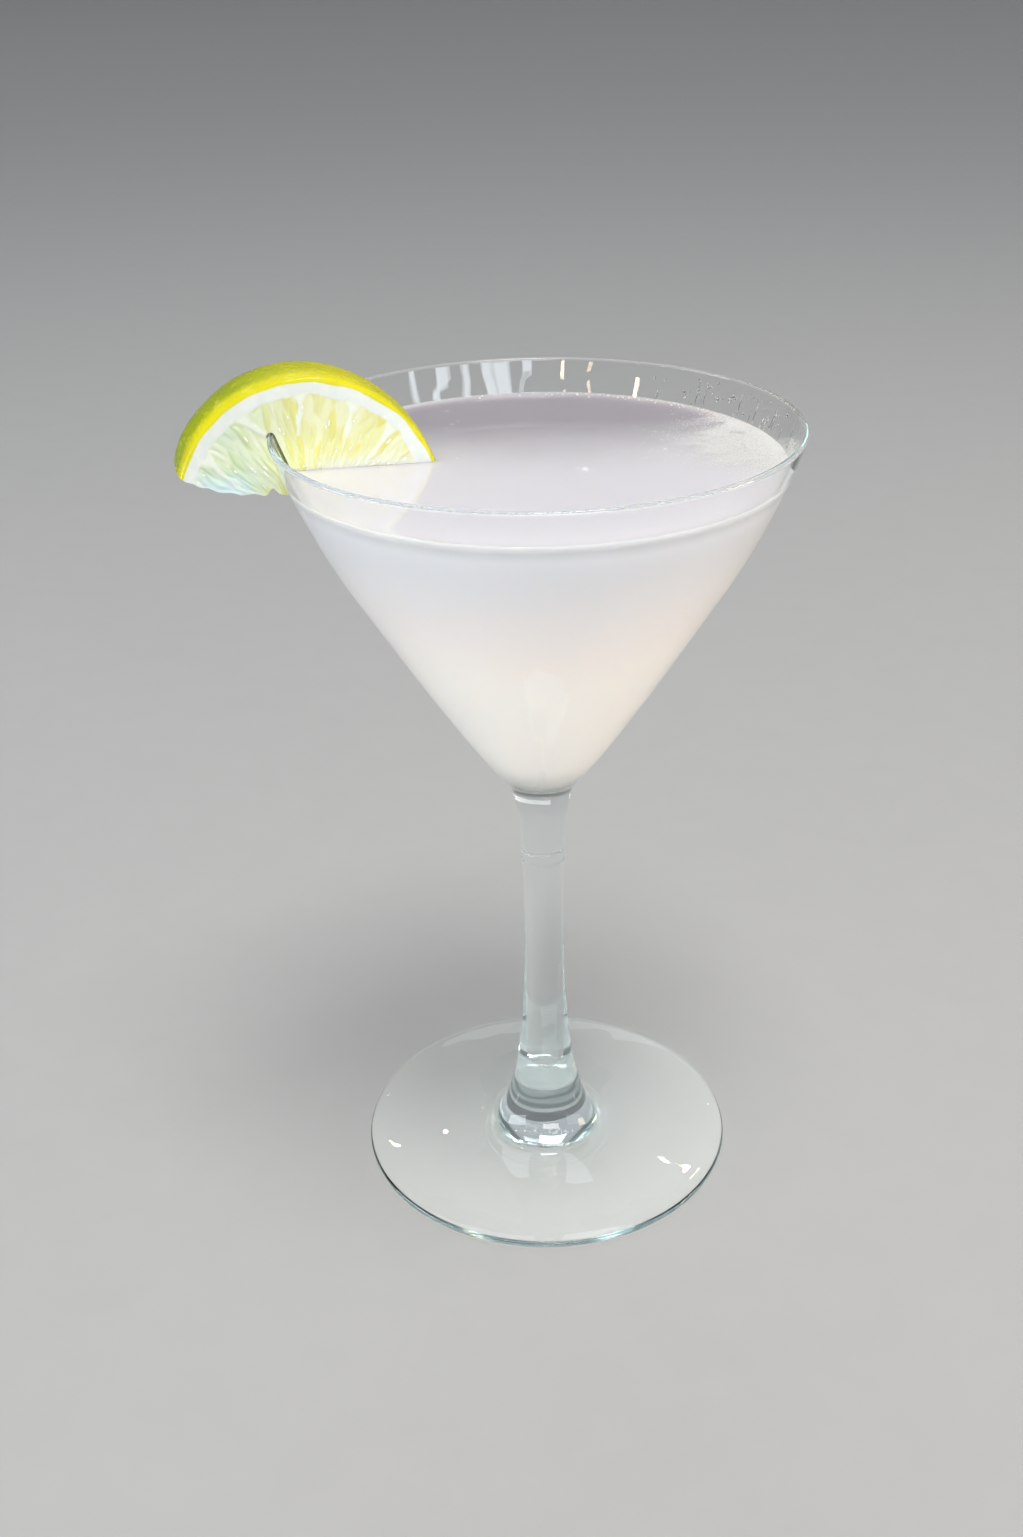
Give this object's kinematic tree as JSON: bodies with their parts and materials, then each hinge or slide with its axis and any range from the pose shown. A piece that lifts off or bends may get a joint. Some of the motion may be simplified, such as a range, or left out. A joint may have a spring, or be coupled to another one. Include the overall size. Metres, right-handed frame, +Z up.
{
  "type": "margarita in a martini glass",
  "caption": "Stemmed cocktail glass with a cone bowl, filled with a cloudy white lime drink, with a slit lime slice pushed down over its rim.",
  "frame": {"origin": "centre of the foot's flat underside, on the axis of the glass", "axes": "+Z up along the axis of the glass, from the foot to the rim; the lime slice sits on the rim on the -X side, with its front face towards -Y"},
  "size_m": [0.1334, 0.112, 0.1974],
  "materials": {
    "clear_glass": "clear polished glass",
    "cloudy_drink": "cloudy white liquid with a glossy surface",
    "lime": "waxy pored skin, white pith and moist pulp"
  },
  "bodies": {
    "root": {"glass": "clear_glass", "drink": "cloudy_drink", "lime_slice": "lime"}
  },
  "joints": []
}
